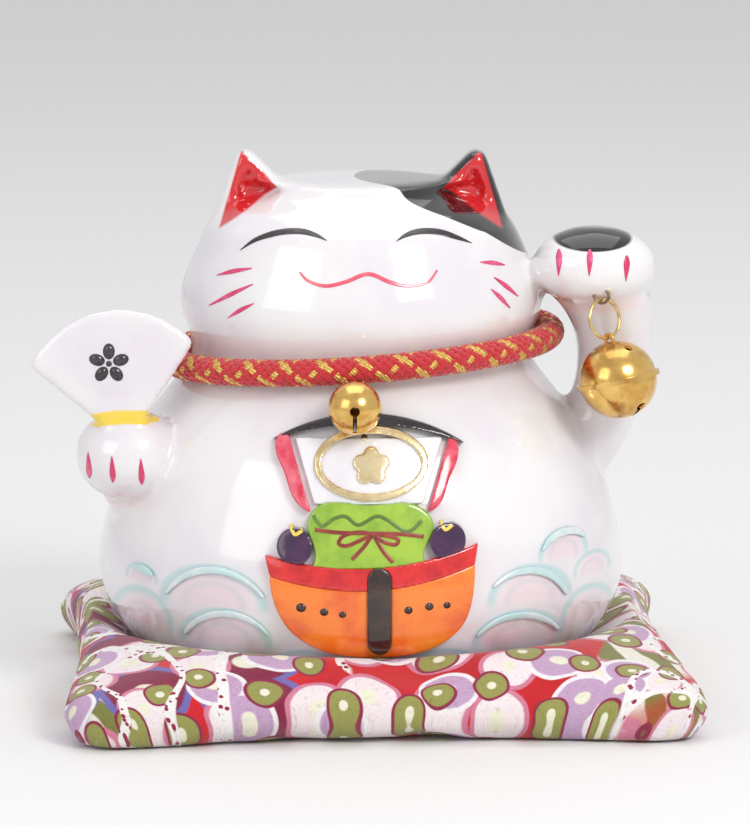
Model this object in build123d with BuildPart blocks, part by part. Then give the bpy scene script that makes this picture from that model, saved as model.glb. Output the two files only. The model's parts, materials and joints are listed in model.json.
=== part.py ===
"""A seated lucky-cat money bank in glazed ceramic, on its own printed cushion.

Frame: millimetres, +Z up, the cat faces -Y, and the origin is on the cushion's underside, under the cat's axis.
The cat holds a fan in the paw on its -X side and beckons with the paw on its +X side, where a jingle bell hangs
from an eye and a ring. A second bell hangs from a braided cord collar. The ceramic is one casting: its relief
and its limbs are nodes of their own, split where the glaze colour or the sprig changes.
"""

import os
from math import cos, radians, sin, sqrt, tan

from build123d import *

os.makedirs("parts", exist_ok=True)

# ---------------------------------------------------------------------------------- driving dimensions
SEAT_Z = 9.0  # the cat's foot stands this far above the table, sunk in the cushion
WALL = 4.5  # slip-cast wall
DEPTH_RATIO = 0.9  # the casting is shallower than it is wide

# Half outline of the casting as (radius, height): foot, belly, neck groove, cheeks, crown.
OUTLINE = [
    (50.0, SEAT_Z),
    (61.5, 15.0),
    (70.5, 31.0),
    (67.8, 52.0),
    (60.5, 70.0),
    (50.3, 84.0),
    (45.4, 93.0),
    (48.6, 104.0),
    (44.0, 120.0),
    (33.5, 132.4),
    (18.0, 137.6),
    (0.0, 138.8),
]
CAVITY_SCALE = 1.0 - 2.0 * WALL / (OUTLINE[-1][1] - SEAT_Z)  # leaves WALL at the foot and at the crown
FOOT_TANGENT = (1.0, 0.35)
SEAM_PLANE = Plane(origin=(0, 0, 0), x_dir=(-1, 1, 0), z_dir=(1, 1, 0))  # keeps the seam clear of every cut
REACH = 100.0  # longer than any half width, for cuts and relief

# Heights of the sprigged relief above the casting
WAVE_RISE = 0.9
SAIL_RISE = 1.2
TRIM_RISE = 2.2
HULL_RISE = 2.6
RAIL_RISE = 3.4

# Relief layout on the belly, each point an (x, z) in the plane of the cat's face
YARD = ((-23.2, 75.7), (2.4, 82.5), (27.6, 74.4))  # left end, middle of the upper edge, right end
YARD_THICK = 2.5
RIBBON_LEFT = [(-18.9, 77.5), (-21.8, 76.3), (-22.0, 72.9), (-20.0, 68.5), (-18.1, 63.2), (-13.0, 58.4)]
RIBBON_RIGHT = [(23.2, 76.5), (24.9, 75.5), (25.1, 70.5), (23.2, 66.5), (21.2, 61.0), (17.6, 58.4)]
SAIL_CORNERS = [(-17.0, 76.4), (21.4, 76.4), (16.4, 60.4), (-12.0, 60.4)]
RING_CENTRE = (2.8, 70.5)
RING_HALF = (14.9, 9.1)
RING_BAND = 1.8
EMBLEM_CENTRE = (2.8, 70.0)
PETAL_R = 1.9
PETAL_COUNT = 5
PETAL_ORBIT = 2.9
SACK = [(-14.0, 43.0), (-12.3, 50.4), (-13.7, 55.1), (-12.0, 59.0), (2.0, 60.2), (16.6, 58.8), (19.0, 54.5)]
SACK += [(17.6, 51.2), (20.0, 43.0)]
EGGPLANTS = ((-17.1, 49.8), (22.8, 51.0))
EGGPLANT_R = 4.6
RAIL_TOP = ((-24.8, 47.2), (3.0, 44.4), (30.6, 49.8))  # left tip, middle, right tip
RAIL_FOOT = ((-23.6, 42.0), (3.0, 38.8), (29.8, 44.6))
HULL = [(29.2, 36.0), (26.6, 28.6), (20.2, 23.2), (3.4, 20.2), (-10.0, 22.2), (-18.8, 28.2), (-22.4, 35.0)]
PLANK = ((4.6, 44.6), (5.4, 21.4))  # top and foot of its middle line
PLANK_WIDTH = 6.0

RIDGE_WIDTH = 2.2

# Wave crests as (left end, top, right end), each an (x, z) on the belly
CRESTS = [
    ((-52.0, 33.5), (-41.5, 42.5), (-24.5, 35.5)),
    ((-47.0, 23.0), (-37.0, 31.5), (-23.5, 25.5)),
    ((34.0, 37.5), (45.5, 42.0), (55.0, 33.0)),
    ((30.0, 24.5), (41.5, 30.5), (53.0, 23.0)),
    ((47.5, 45.5), (53.5, 50.5), (60.0, 47.0)),
    ((-61.0, 38.5), (-58.0, 40.2), (-54.5, 37.5)),
]

# Coin slot in the upper back, stopper hole in the foot
SLOT_LENGTH = 38.0
SLOT_HEIGHT = 4.8
SLOT_Z = 73.0
STOPPER_R = 13.0
STOPPER_FLANGE_R = 17.5
STOPPER_FLANGE = 2.0
STOPPER_BEAD = 1.2

# Ears: mirrored outlines (x, z) with their own tip heights
EAR_BASE = [(17.5, 134.5), (42.6, 119.0)]
EAR_TIP_X = 32.0
EAR_TIP_Z = 148.6
EAR_HALF_THICK = 6.0
EAR_CHAMFER = 1.8
EAR_ROUND = 2.6
EAR_Y = -1.5
EAR_RECESS = 3.2
EAR_RIM = 3.2

# Raised arm: (x, y, z, radius) from inside the flank up into the paw
FOREARM = [(50.0, 0.0, 55.0, 9.0), (64.6, -1.0, 75.0, 9.8), (68.2, -1.5, 91.0, 9.7), (64.4, -4.5, 108.0, 13.6)]
RAISED_PAW = (62.3, -11.5, 116.6)
RAISED_PAW_R = (16.3, 13.6, 10.3)

# Fan arm and fan
FAN_PAW = (-61.5, -24.0, 67.6)
FAN_PAW_R = (14.0, 13.2, 12.2)
FAN_ELBOW = (-55.0, -14.0, 60.0)
FAN_ELBOW_R = (15.0, 15.0, 13.0)
FAN_Y = -31.0
FAN_THICK = 4.0
FAN_TIPS = ((-87.4, 92.5), (-62.9, 107.4), (-43.9, 98.8))  # left, top and right of the curved edge
FAN_GRIP = ((-57.5, 78.0), (-70.0, 78.0))
FAN_ROUND = 1.6
FAN_DISC = (-66.3, 93.4)
FAN_DISC_R = 7.0
FAN_DISC_RISE = 0.6

# Bobtail
TAIL_CENTRE = (0.0, 60.0, 36.0)
TAIL_R = (10.0, 10.0, 12.5)

# Collar: round braided cord in the neck groove, a little higher on the +X side
CORD_R = 3.75
COLLAR_A = 51.2  # half width of the cord's centreline
COLLAR_B = 45.6  # half depth of the cord's centreline
COLLAR_END_R = 42.0  # radius of its two side arcs
COLLAR_Z = 93.6
COLLAR_ROLL = 4.0  # degrees
FERRULE_WALL = 0.5
FERRULE_LENGTH = 11.0

# Bells
BELL_WALL = 0.5
BELL_SLIT = 1.1
BELL_HOLE_R = 1.3
PAW_BELL_R = 10.35
PAW_BELL_RIM = 0.9
PAW_BELL_RIM_THICK = 1.2
PAW_LUG_R = 1.5
PAW_LUG_WIRE = 0.45
PAW_PELLET_R = 2.6
COLLAR_BELL_R = 7.0
COLLAR_LUG_R = 1.2
COLLAR_LUG_WIRE = 0.4
COLLAR_PELLET_R = 1.9
PELLET_GAP = 0.2
PLAY = 0.1  # running clearance between linked wires

# Paw bell's hanger: an eye fired into the palm, and a ring
EYE = (63.8, -22.6, 109.9)
EYE_R = 2.0
EYE_WIRE = 0.4
EYE_TURN = -15.0  # degrees about Z from the plane of the cat's face
PAW_RING_R = 5.2
PAW_RING_WIRE = 0.45
PAW_RING_TURN = 40.0
PAW_LEAN_X = 12.5  # degrees from plumb, as the bell leans on the forearm
PAW_LEAN_Y = -5.0

# Collar bell's ring, threaded through the cord
COLLAR_BELL_X = -1.4
COLLAR_BELL_DROP = 39.0  # degrees below the horizontal, from the cord to the bell
COLLAR_BELL_REACH = 13.2  # from the cord's centreline to the bell's centre
COLLAR_RING_R = 2.2
COLLAR_RING_WIRE = 0.4

# Cushion
CUSHION_SIDE = 169.0
CUSHION_THICK = 21.0
CUSHION_EDGE_R = 9.8
CUSHION_CORNER_R = 16.0
CUSHION_X = 2.5
CUSHION_TURN = 3.5  # degrees about Z
COVER_THICK = 1.2
SOFT_GAP = 0.3  # air under the cat's foot
DISH_FOOT = 57.0  # half width of the dish that the cat sits in, at its floor
DISH_MOUTH = 75.0


# ------------------------------------------------------------------------------------- shared helpers
def write(part, name):
    """Labels one finished piece and writes it as its own STEP file."""
    part.label = name
    export_step(part, f"parts/{name}.step")


def outline_curve(points):
    """The smooth half outline through the points, flat at the foot and level at the crown."""
    return Spline(*points, tangents=(FOOT_TANGENT, (-1.0, 0.0)))


def moved_outline(grow):
    """The outline's points, each moved outwards from the casting by grow."""
    base = outline_curve(OUTLINE)
    moved = [(point, base.tangent_at(Vector(*point))) for point in OUTLINE[:-1]]
    points = [(r + grow * along.Y, z - grow * along.X) for (r, z), along in moved]
    return [*points, (0.0, OUTLINE[-1][1] + grow)]


def half_outline(points):
    """The edges between an outline and the axis, in the sketch's own plane."""
    with BuildLine() as half:
        add(outline_curve(points))
        Polyline(points[-1], (0, points[0][1]), points[0])
    return half.edges()


def casting_form(grow):
    """The casting's outer form as a solid, with its surface moved outwards by grow."""
    half = half_outline(moved_outline(grow))
    with BuildPart() as form:
        with BuildSketch(SEAM_PLANE):
            make_face(half)
        revolve(axis=Axis.Z)
        scale(by=(1.0, DEPTH_RATIO, 1.0))
    return form.part


SKINS = {rise: casting_form(rise) for rise in (0.0, WAVE_RISE, SAIL_RISE, TRIM_RISE, HULL_RISE, RAIL_RISE)}
SKIN = SKINS[0.0]


def clear_of(outline, others):
    """An outline less the others."""
    for other in others:
        outline = outline - other
    return outline


def relief(outline, low, high, *others):
    """A sprig on the belly: the outline less the others, from the skin raised by low to the skin raised by high."""
    with BuildPart() as sprig:
        extrude(clear_of(outline, others), amount=REACH, dir=(0, -1, 0))
        add(SKINS[high], mode=Mode.INTERSECT)
        add(SKINS[low], mode=Mode.SUBTRACT)
    return sprig.part


def broad_relief(outline, high, *others):
    """The same for a broad sprig on the bare skin, cut from the whole layer of glaze in one go."""
    with BuildPart() as layer:
        add(SKINS[high])
        add(SKIN, mode=Mode.SUBTRACT)
        extrude(clear_of(outline, others), amount=REACH, dir=(0, -1, 0), mode=Mode.INTERSECT)
    return layer.part


def ellipsoid(centre, radii):
    """A solid ellipsoid with its axes along the frame's."""
    with BuildPart() as ball:
        Sphere(1.0)
        scale(by=radii)
    return ball.part.moved(Location(centre))


def wire_ring(plane, radius, wire):
    """A closed wire ring whose middle is the plane's origin and whose axis is the plane's."""
    with BuildPart(plane) as ring:
        Torus(radius, wire)
    return ring.part


# --------------------------------------------------------------------------------------- hollow body
outside = half_outline(moved_outline(0.0))
inside = half_outline([(CAVITY_SCALE * r, SEAT_Z + WALL + CAVITY_SCALE * (z - SEAT_Z)) for r, z in OUTLINE])
with BuildPart() as cat_body:
    with BuildSketch(SEAM_PLANE):
        make_face(outside)
        make_face(inside, mode=Mode.SUBTRACT)
    revolve(axis=Axis.Z)
    scale(by=(1.0, DEPTH_RATIO, 1.0))
    with BuildSketch(Plane.XZ.offset(-REACH)):
        with Locations((0, SLOT_Z)):
            SlotOverall(SLOT_LENGTH, SLOT_HEIGHT)
    extrude(amount=REACH - 20.0, mode=Mode.SUBTRACT)
    with BuildSketch(Plane.XY.offset(SEAT_Z)):
        Circle(STOPPER_FLANGE_R)
    extrude(amount=STOPPER_FLANGE, mode=Mode.SUBTRACT)
    with BuildSketch(Plane.XY.offset(SEAT_Z)):
        Circle(STOPPER_R)
    extrude(amount=2 * WALL, mode=Mode.SUBTRACT)
write(cat_body.part, "cat_body")

with BuildPart() as base_stopper:
    with BuildSketch(Plane.XY.offset(SEAT_Z)):
        Circle(STOPPER_FLANGE_R)
    extrude(amount=STOPPER_FLANGE)
    with BuildSketch(Plane.XY.offset(SEAT_Z + STOPPER_FLANGE)):
        Circle(STOPPER_R)
    extrude(amount=WALL - STOPPER_FLANGE)
    with BuildSketch(Plane.XY.offset(SEAT_Z + WALL)):
        Circle(STOPPER_R + STOPPER_BEAD)
    extrude(amount=2 * STOPPER_BEAD, taper=20.0)
write(base_stopper.part, "base_stopper")

# ---------------------------------------------------------------------------------------------- ears
for side, name in ((-1, "ear_left"), (1, "ear_right")):
    corners = [(side * x, z) for x, z in (*EAR_BASE, (EAR_TIP_X, EAR_TIP_Z))]
    with BuildPart() as ear:
        with BuildSketch(Plane.XZ.offset(-EAR_Y - EAR_HALF_THICK)) as blank:
            with BuildLine():
                Polyline(*corners, close=True)
            make_face()
            fillet(blank.vertices(), EAR_ROUND)
        extrude(amount=2 * EAR_HALF_THICK)
        chamfer(ear.faces().filter_by(Axis.Y).edges(), EAR_CHAMFER)
        with BuildSketch(Plane.XZ.offset(EAR_HALF_THICK - EAR_Y)):
            with BuildLine():
                Polyline(*corners, close=True)
            make_face()
            offset(amount=-EAR_RIM, kind=Kind.INTERSECTION)
        extrude(amount=-EAR_RECESS, mode=Mode.SUBTRACT)
        add(SKIN, mode=Mode.SUBTRACT)
    write(ear.part, name)

# ---------------------------------------------------------------------------------------------- arms
with BuildPart() as raised_arm:
    for index, (x, y, z, radius) in enumerate(FOREARM):
        rise = 35.0 if index == 0 else 0.0
        with BuildSketch(Plane(origin=(x, y, z), z_dir=(sin(radians(rise)), 0, cos(radians(rise))))):
            Circle(radius)
    loft()
    add(ellipsoid(RAISED_PAW, RAISED_PAW_R))
    add(SKIN, mode=Mode.SUBTRACT)
write(raised_arm.part, "raised_arm")

with BuildPart() as fan:
    with BuildSketch(Plane.XZ.offset(-FAN_Y - FAN_THICK / 2)) as leaf:
        with BuildLine():
            ThreePointArc(*FAN_TIPS)
            Polyline(FAN_TIPS[2], *FAN_GRIP, FAN_TIPS[0])
        make_face()
        fillet(leaf.vertices(), FAN_ROUND)
    extrude(amount=FAN_THICK)
    with BuildSketch(Plane.XZ.offset(-FAN_Y + FAN_THICK / 2)):
        with Locations(FAN_DISC):
            Circle(FAN_DISC_R)
    extrude(amount=FAN_DISC_RISE)

with BuildPart() as fan_arm:
    add(ellipsoid(FAN_PAW, FAN_PAW_R))
    add(ellipsoid(FAN_ELBOW, FAN_ELBOW_R))
    add(SKIN, mode=Mode.SUBTRACT)
    add(fan.part, mode=Mode.SUBTRACT)
write(fan.part, "fan")
write(fan_arm.part, "fan_arm")

with BuildPart() as tail:
    add(ellipsoid(TAIL_CENTRE, TAIL_R))
    add(SKIN, mode=Mode.SUBTRACT)
write(tail.part, "tail")

# ------------------------------------------------------------------------------- relief on the belly
def band(upper, lower):
    """A sketch between two three-point arcs, given left to right, with straight ends where they don't meet."""
    with BuildSketch(Plane.XZ) as outline:
        with BuildLine():
            ThreePointArc(*upper)
            if upper[2] != lower[2]:
                Line(upper[2], lower[2])
            ThreePointArc(*lower)
            if upper[0] != lower[0]:
                Line(lower[0], upper[0])
        make_face()
    return outline.sketch


def closed_curve(points):
    """A sketch inside a smooth curve from the first point to the last, closed by a straight edge."""
    with BuildSketch(Plane.XZ) as outline:
        with BuildLine():
            Spline(*points)
            Line(points[-1], points[0])
        make_face()
    return outline.sketch


def disc(centre, radius):
    """A round sketch."""
    with BuildSketch(Plane.XZ) as outline:
        with Locations(centre):
            Circle(radius)
    return outline.sketch


with BuildSketch(Plane.XZ) as plank_outline:
    with Locations((sum(x for x, z in PLANK) / 2, sum(z for x, z in PLANK) / 2)):
        SlotOverall(PLANK[0][1] - PLANK[1][1], PLANK_WIDTH, rotation=90)
with BuildSketch(Plane.XZ) as hull_outline:
    with BuildLine():
        ThreePointArc(*RAIL_FOOT)
        Spline(RAIL_FOOT[2], *HULL, RAIL_FOOT[0])
    make_face()
with BuildSketch(Plane.XZ) as sail_outline:
    with BuildLine():
        Polyline(*SAIL_CORNERS, close=True)
    make_face()
with BuildSketch(Plane.XZ) as ring_outline:
    with Locations(RING_CENTRE):
        Ellipse(*RING_HALF)
        Ellipse(*[half - RING_BAND for half in RING_HALF], mode=Mode.SUBTRACT)
with BuildSketch(Plane.XZ) as emblem_outline:
    with Locations(EMBLEM_CENTRE):
        with PolarLocations(PETAL_ORBIT, PETAL_COUNT, start_angle=90):
            Circle(PETAL_R)
        Circle(PETAL_R)
plank = plank_outline.sketch
rail = band(RAIL_TOP, RAIL_FOOT)
sack = closed_curve(SACK)
yard = band(YARD, [(x, z - YARD_THICK * (index == 1)) for index, (x, z) in enumerate(YARD)])
ribbon_left = closed_curve(RIBBON_LEFT)
ribbon_right = closed_curve(RIBBON_RIGHT)

with BuildPart() as wave_relief:
    for left, top, right in CRESTS:
        under = (top[0], top[1] - RIDGE_WIDTH)
        inset = RIDGE_WIDTH / 2
        crest = band((left, top, right), ((left[0] + inset, left[1]), under, (right[0] - inset, right[1])))
        add(relief(crest, 0.0, WAVE_RISE, hull_outline.sketch, rail))

for name, piece in {
    "ship_plank": relief(plank, 0.0, RAIL_RISE),
    "ship_rail": relief(rail, 0.0, HULL_RISE, plank),
    "ship_hull": relief(hull_outline.sketch, 0.0, TRIM_RISE, rail, plank),
    "treasure_sack": broad_relief(sack, TRIM_RISE, rail, plank),
    "eggplant_left": relief(disc(EGGPLANTS[0], EGGPLANT_R), 0.0, RAIL_RISE, rail, sack),
    "eggplant_right": relief(disc(EGGPLANTS[1], EGGPLANT_R), 0.0, RAIL_RISE, rail, sack),
    "sail_yard": relief(yard, 0.0, TRIM_RISE),
    "sail_ribbon_left": relief(ribbon_left, 0.0, TRIM_RISE, yard, sack),
    "sail_ribbon_right": relief(ribbon_right, 0.0, TRIM_RISE, yard, sack),
    "sail": broad_relief(sail_outline.sketch, SAIL_RISE, yard, sack, ribbon_left, ribbon_right),
    "sail_ring": relief(ring_outline.sketch, SAIL_RISE, TRIM_RISE, yard),
    "sail_emblem": relief(emblem_outline.sketch, SAIL_RISE, TRIM_RISE),
    "wave_relief": wave_relief.part,
}.items():
    write(piece, name)

# -------------------------------------------------------------------------------------------- collar
roll = radians(COLLAR_ROLL)
collar_plane = Plane(origin=(0, 0, COLLAR_Z), x_dir=(cos(roll), 0, sin(roll)), z_dir=(-sin(roll), 0, cos(roll)))
end_x = COLLAR_A - COLLAR_END_R
spare = COLLAR_B - COLLAR_END_R
side_y = (end_x**2 - spare**2) / (2 * spare)  # centre of each long arc, past the axis
long_r = side_y + COLLAR_B
joint_x = end_x + COLLAR_END_R * end_x / sqrt(end_x**2 + side_y**2)
joint_y = COLLAR_END_R * side_y / sqrt(end_x**2 + side_y**2)
with BuildLine(collar_plane) as collar_route:
    ThreePointArc((joint_x, -joint_y), (COLLAR_A, 0), (joint_x, joint_y))
    ThreePointArc((joint_x, joint_y), (0, COLLAR_B), (-joint_x, joint_y))
    ThreePointArc((-joint_x, joint_y), (-COLLAR_A, 0), (-joint_x, -joint_y))
    ThreePointArc((-joint_x, -joint_y), (0, -COLLAR_B), (joint_x, -joint_y))
print("collar radii", COLLAR_END_R, long_r, "length", collar_route.wires()[0].length)
with BuildPart() as collar_cord:
    with BuildSketch(Plane(origin=collar_route.line @ 0, z_dir=collar_route.line % 0)):
        Circle(CORD_R)
    sweep(path=collar_route.wires()[0])
write(collar_cord.part, "collar_cord")

with BuildPart() as collar_ferrule:
    back = collar_plane.from_local_coords((-FERRULE_LENGTH / 2, COLLAR_B, 0))
    with BuildSketch(Plane(origin=back, z_dir=collar_plane.x_dir)):
        Circle(CORD_R + FERRULE_WALL)
    extrude(amount=FERRULE_LENGTH)
    add(collar_cord.part, mode=Mode.SUBTRACT)
write(collar_ferrule.part, "collar_ferrule")


# --------------------------------------------------------------------------------------------- bells
def bell(plane, radius, rim, upper_name, lower_name):
    """Two crimped half shells. The plane's normal points to the lug; the slit is cut along its Y axis."""
    hole_tilt = radians(40.0)
    drop = radius * cos(hole_tilt)
    out = radius * sin(hole_tilt)
    for side, name in ((1, upper_name), (-1, lower_name)):
        with BuildPart(plane) as half:
            Sphere(radius)
            if rim:
                Cylinder(radius + rim, PAW_BELL_RIM_THICK)
            Sphere(radius - BELL_WALL, mode=Mode.SUBTRACT)
            if side < 0:
                with Locations((0, 0, -radius)):
                    Box(BELL_SLIT, 2 * out, 2 * radius - 1.4 * drop, mode=Mode.SUBTRACT)
            with Locations((0, -out, side * drop), (0, out, side * drop)):
                Sphere(BELL_HOLE_R if side < 0 else BELL_HOLE_R * 0.8, mode=Mode.SUBTRACT)
            split(bisect_by=plane, keep=Keep.TOP if side > 0 else Keep.BOTTOM)
        write(half.part, name)


def hanging_plane(origin, down, turn_from):
    """A plane whose Z points up the hanger and whose X is turn_from, squared to it."""
    up = Vector(*down).normalized() * -1
    across = Vector(*turn_from)
    across = across - up * across.dot(up)
    return Plane(origin=origin, x_dir=across.normalized(), z_dir=up)


def turned(degrees):
    """The +X direction turned about Z."""
    return (cos(radians(degrees)), sin(radians(degrees)), 0.0)


lean = (tan(radians(PAW_LEAN_X)), tan(radians(PAW_LEAN_Y)), -1.0)
eye_turn = turned(EYE_TURN)
eye_plane = Plane(origin=EYE, x_dir=eye_turn, z_dir=(eye_turn[1], -eye_turn[0], 0.0))
paw_eye = wire_ring(eye_plane, EYE_R, EYE_WIRE)
paw_pivot = Vector(*EYE) - Vector(0, 0, EYE_R)
paw_hang = hanging_plane(paw_pivot, lean, turned(PAW_RING_TURN))
ring_drop = PAW_RING_R - (EYE_WIRE + PAW_RING_WIRE + PLAY)
lug_drop = ring_drop + PAW_RING_R + PAW_LUG_R - (PAW_RING_WIRE + PAW_LUG_WIRE + PLAY)
bell_drop = lug_drop + PAW_LUG_WIRE + PAW_BELL_R


def on_hanger(drop):
    """The place on the paw bell's hanger, drop below its pivot."""
    return paw_hang.origin - paw_hang.z_dir * drop


ring_plane = Plane(origin=on_hanger(ring_drop), x_dir=paw_hang.x_dir, z_dir=paw_hang.y_dir)
paw_ring = wire_ring(ring_plane, PAW_RING_R, PAW_RING_WIRE)
bell_plane = Plane(origin=on_hanger(bell_drop), x_dir=paw_hang.x_dir, z_dir=paw_hang.z_dir)
bell(bell_plane, PAW_BELL_R, PAW_BELL_RIM, "paw_bell_upper", "paw_bell_lower")
with BuildPart() as paw_bell_ball:
    with Locations(bell_plane.location):
        Sphere(PAW_BELL_R)
with BuildPart() as paw_bell_lug:
    add(wire_ring(Plane(origin=on_hanger(lug_drop), z_dir=paw_hang.x_dir), PAW_LUG_R, PAW_LUG_WIRE))
    add(paw_bell_ball.part, mode=Mode.SUBTRACT)
with BuildPart() as paw_bell_pellet:
    with Locations(bell_plane.origin - bell_plane.z_dir * (PAW_BELL_R - BELL_WALL - PELLET_GAP - PAW_PELLET_R)):
        Sphere(PAW_PELLET_R)
with BuildPart() as paw_eye_fired:
    add(paw_eye)
    add(raised_arm.part, mode=Mode.SUBTRACT)
write(paw_eye_fired.part, "paw_eye")
write(paw_ring, "paw_ring")
write(paw_bell_lug.part, "paw_bell_lug")
write(paw_bell_pellet.part, "paw_bell_pellet")

drop_angle = radians(COLLAR_BELL_DROP)
cord_front = collar_plane.from_local_coords((COLLAR_BELL_X, -COLLAR_B, 0))
collar_hang = hanging_plane(cord_front, (0, -cos(drop_angle), -sin(drop_angle)), (1, 0, 0))
ball_origin = collar_hang.origin - collar_hang.z_dir * COLLAR_BELL_REACH
lug_reach = COLLAR_BELL_REACH - COLLAR_BELL_R - COLLAR_LUG_WIRE
pivot_reach = lug_reach - COLLAR_LUG_R + COLLAR_LUG_WIRE + COLLAR_RING_WIRE + PLAY
collar_pivot = collar_hang.origin - collar_hang.z_dir * pivot_reach
collar_ring = wire_ring(
    Plane(origin=collar_pivot + collar_hang.z_dir * COLLAR_RING_R, z_dir=collar_hang.y_dir),
    COLLAR_RING_R,
    COLLAR_RING_WIRE,
)
collar_ball_plane = Plane(origin=ball_origin, x_dir=collar_hang.x_dir, z_dir=collar_hang.z_dir)
bell(collar_ball_plane, COLLAR_BELL_R, 0.0, "collar_bell_upper", "collar_bell_lower")
with BuildPart() as collar_bell_ball:
    with Locations(collar_ball_plane.location):
        Sphere(COLLAR_BELL_R)
with BuildPart() as collar_bell_lug:
    add(wire_ring(
        Plane(origin=collar_hang.origin - collar_hang.z_dir * lug_reach, z_dir=collar_hang.x_dir),
        COLLAR_LUG_R,
        COLLAR_LUG_WIRE,
    ))
    add(collar_bell_ball.part, mode=Mode.SUBTRACT)
collar_pellet_reach = COLLAR_BELL_R - BELL_WALL - PELLET_GAP - COLLAR_PELLET_R
with BuildPart() as collar_bell_pellet:
    with Locations(ball_origin - Vector(0, 0, collar_pellet_reach)):
        Sphere(COLLAR_PELLET_R)
write(collar_ring, "collar_ring")
write(collar_bell_lug.part, "collar_bell_lug")
write(collar_bell_pellet.part, "collar_bell_pellet")

# ------------------------------------------------------------------------------------------- cushion
def pillow(inset):
    """The cushion's block with its dish for the cat, its surface moved inwards by inset."""
    with BuildPart() as block:
        spot = (CUSHION_X, 0, inset)
        with BuildSketch(Plane(origin=spot, x_dir=turned(CUSHION_TURN), z_dir=(0, 0, 1))):
            RectangleRounded(CUSHION_SIDE - 2 * inset, CUSHION_SIDE - 2 * inset, CUSHION_CORNER_R - inset)
        extrude(amount=CUSHION_THICK - 2 * inset)
        fillet(block.faces().filter_by(Axis.Z).edges(), CUSHION_EDGE_R - inset)
        for level, reach in ((SEAT_Z - SOFT_GAP - inset, DISH_FOOT), (CUSHION_THICK + 1.0, DISH_MOUTH)):
            with BuildSketch(Plane.XY.offset(level)):
                Ellipse(reach + inset, DEPTH_RATIO * reach + inset)
        loft(mode=Mode.SUBTRACT)
    return block.part


filling_block = pillow(COVER_THICK)
with BuildPart() as cushion_cover:
    add(pillow(0.0))
    add(filling_block, mode=Mode.SUBTRACT)
write(filling_block, "cushion_filling")
write(cushion_cover.part, "cushion_cover")
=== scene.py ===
"""Looks for the seated ceramic cat bank on its printed cushion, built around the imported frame.

Everything is in metres with +Z up, unless a value's docstring says millimetres.
"""

import json
import logging
import math
from dataclasses import dataclass, field
from enum import Enum
from typing import Any, Sequence

import bmesh
import bpy
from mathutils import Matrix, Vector
from mathutils.bvhtree import BVHTree

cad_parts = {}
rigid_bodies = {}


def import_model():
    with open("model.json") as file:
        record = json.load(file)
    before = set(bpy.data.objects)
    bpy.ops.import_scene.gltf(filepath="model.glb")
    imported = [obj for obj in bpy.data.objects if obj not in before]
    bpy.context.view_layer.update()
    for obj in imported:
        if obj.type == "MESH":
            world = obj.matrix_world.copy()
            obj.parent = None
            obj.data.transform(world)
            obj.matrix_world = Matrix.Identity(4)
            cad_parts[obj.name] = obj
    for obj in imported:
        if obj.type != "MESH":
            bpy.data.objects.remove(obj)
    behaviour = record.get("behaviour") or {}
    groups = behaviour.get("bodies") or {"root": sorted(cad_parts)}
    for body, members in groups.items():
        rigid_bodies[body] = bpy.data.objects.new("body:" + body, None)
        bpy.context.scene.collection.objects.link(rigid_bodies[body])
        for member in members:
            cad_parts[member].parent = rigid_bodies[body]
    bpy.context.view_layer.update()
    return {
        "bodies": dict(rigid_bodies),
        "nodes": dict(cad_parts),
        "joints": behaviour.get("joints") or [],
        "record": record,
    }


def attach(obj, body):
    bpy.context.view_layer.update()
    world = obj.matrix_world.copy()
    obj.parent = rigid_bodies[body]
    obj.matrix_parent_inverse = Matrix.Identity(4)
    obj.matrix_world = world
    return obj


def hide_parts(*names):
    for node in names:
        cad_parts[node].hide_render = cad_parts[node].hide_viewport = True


log = logging.getLogger("cat_bank")
MM = 0.001
FRONT_Y = -0.2  # well in front of the cat
Colour = tuple[float, float, float]
Point = tuple[float, float]


class Body(str, Enum):
    """The bodies that new pieces ride on."""

    CAT = "cat"
    CUSHION = "cushion"


# ------------------------------------------------------------------------------------------ shader maths
class Val:
    """A socket that can be added, multiplied and compared like a number."""

    def __init__(self, graph: "Graph", socket: bpy.types.NodeSocket) -> None:
        """Keeps the graph and the socket."""
        self.graph = graph
        self.socket = socket

    def math(self, operation: str, *others: Any) -> "Val":
        """One Math node over this value and others."""
        return self.graph.math(operation, self, *others)

    def __add__(self, other: Any) -> "Val":
        """Sum."""
        return self.math("ADD", other)

    __radd__ = __add__

    def __mul__(self, other: Any) -> "Val":
        """Product."""
        return self.math("MULTIPLY", other)

    __rmul__ = __mul__

    def __sub__(self, other: Any) -> "Val":
        """Difference."""
        return self.math("SUBTRACT", other)

    def __rsub__(self, other: Any) -> "Val":
        """Reflected difference."""
        return self.graph.math("SUBTRACT", other, self)

    def __truediv__(self, other: Any) -> "Val":
        """Quotient."""
        return self.math("DIVIDE", other)

    def __abs__(self) -> "Val":
        """Size without sign."""
        return self.math("ABSOLUTE")

    def step(self, low: float, high: float) -> "Val":
        """Rises smoothly from 0 at low to 1 at high; swap them for a fall."""
        kind = {"interpolation_type": "SMOOTHSTEP"}
        inputs = {"Value": self, "From Min": low, "From Max": high}
        return self.graph.node("ShaderNodeMapRange", kind, inputs)


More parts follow.
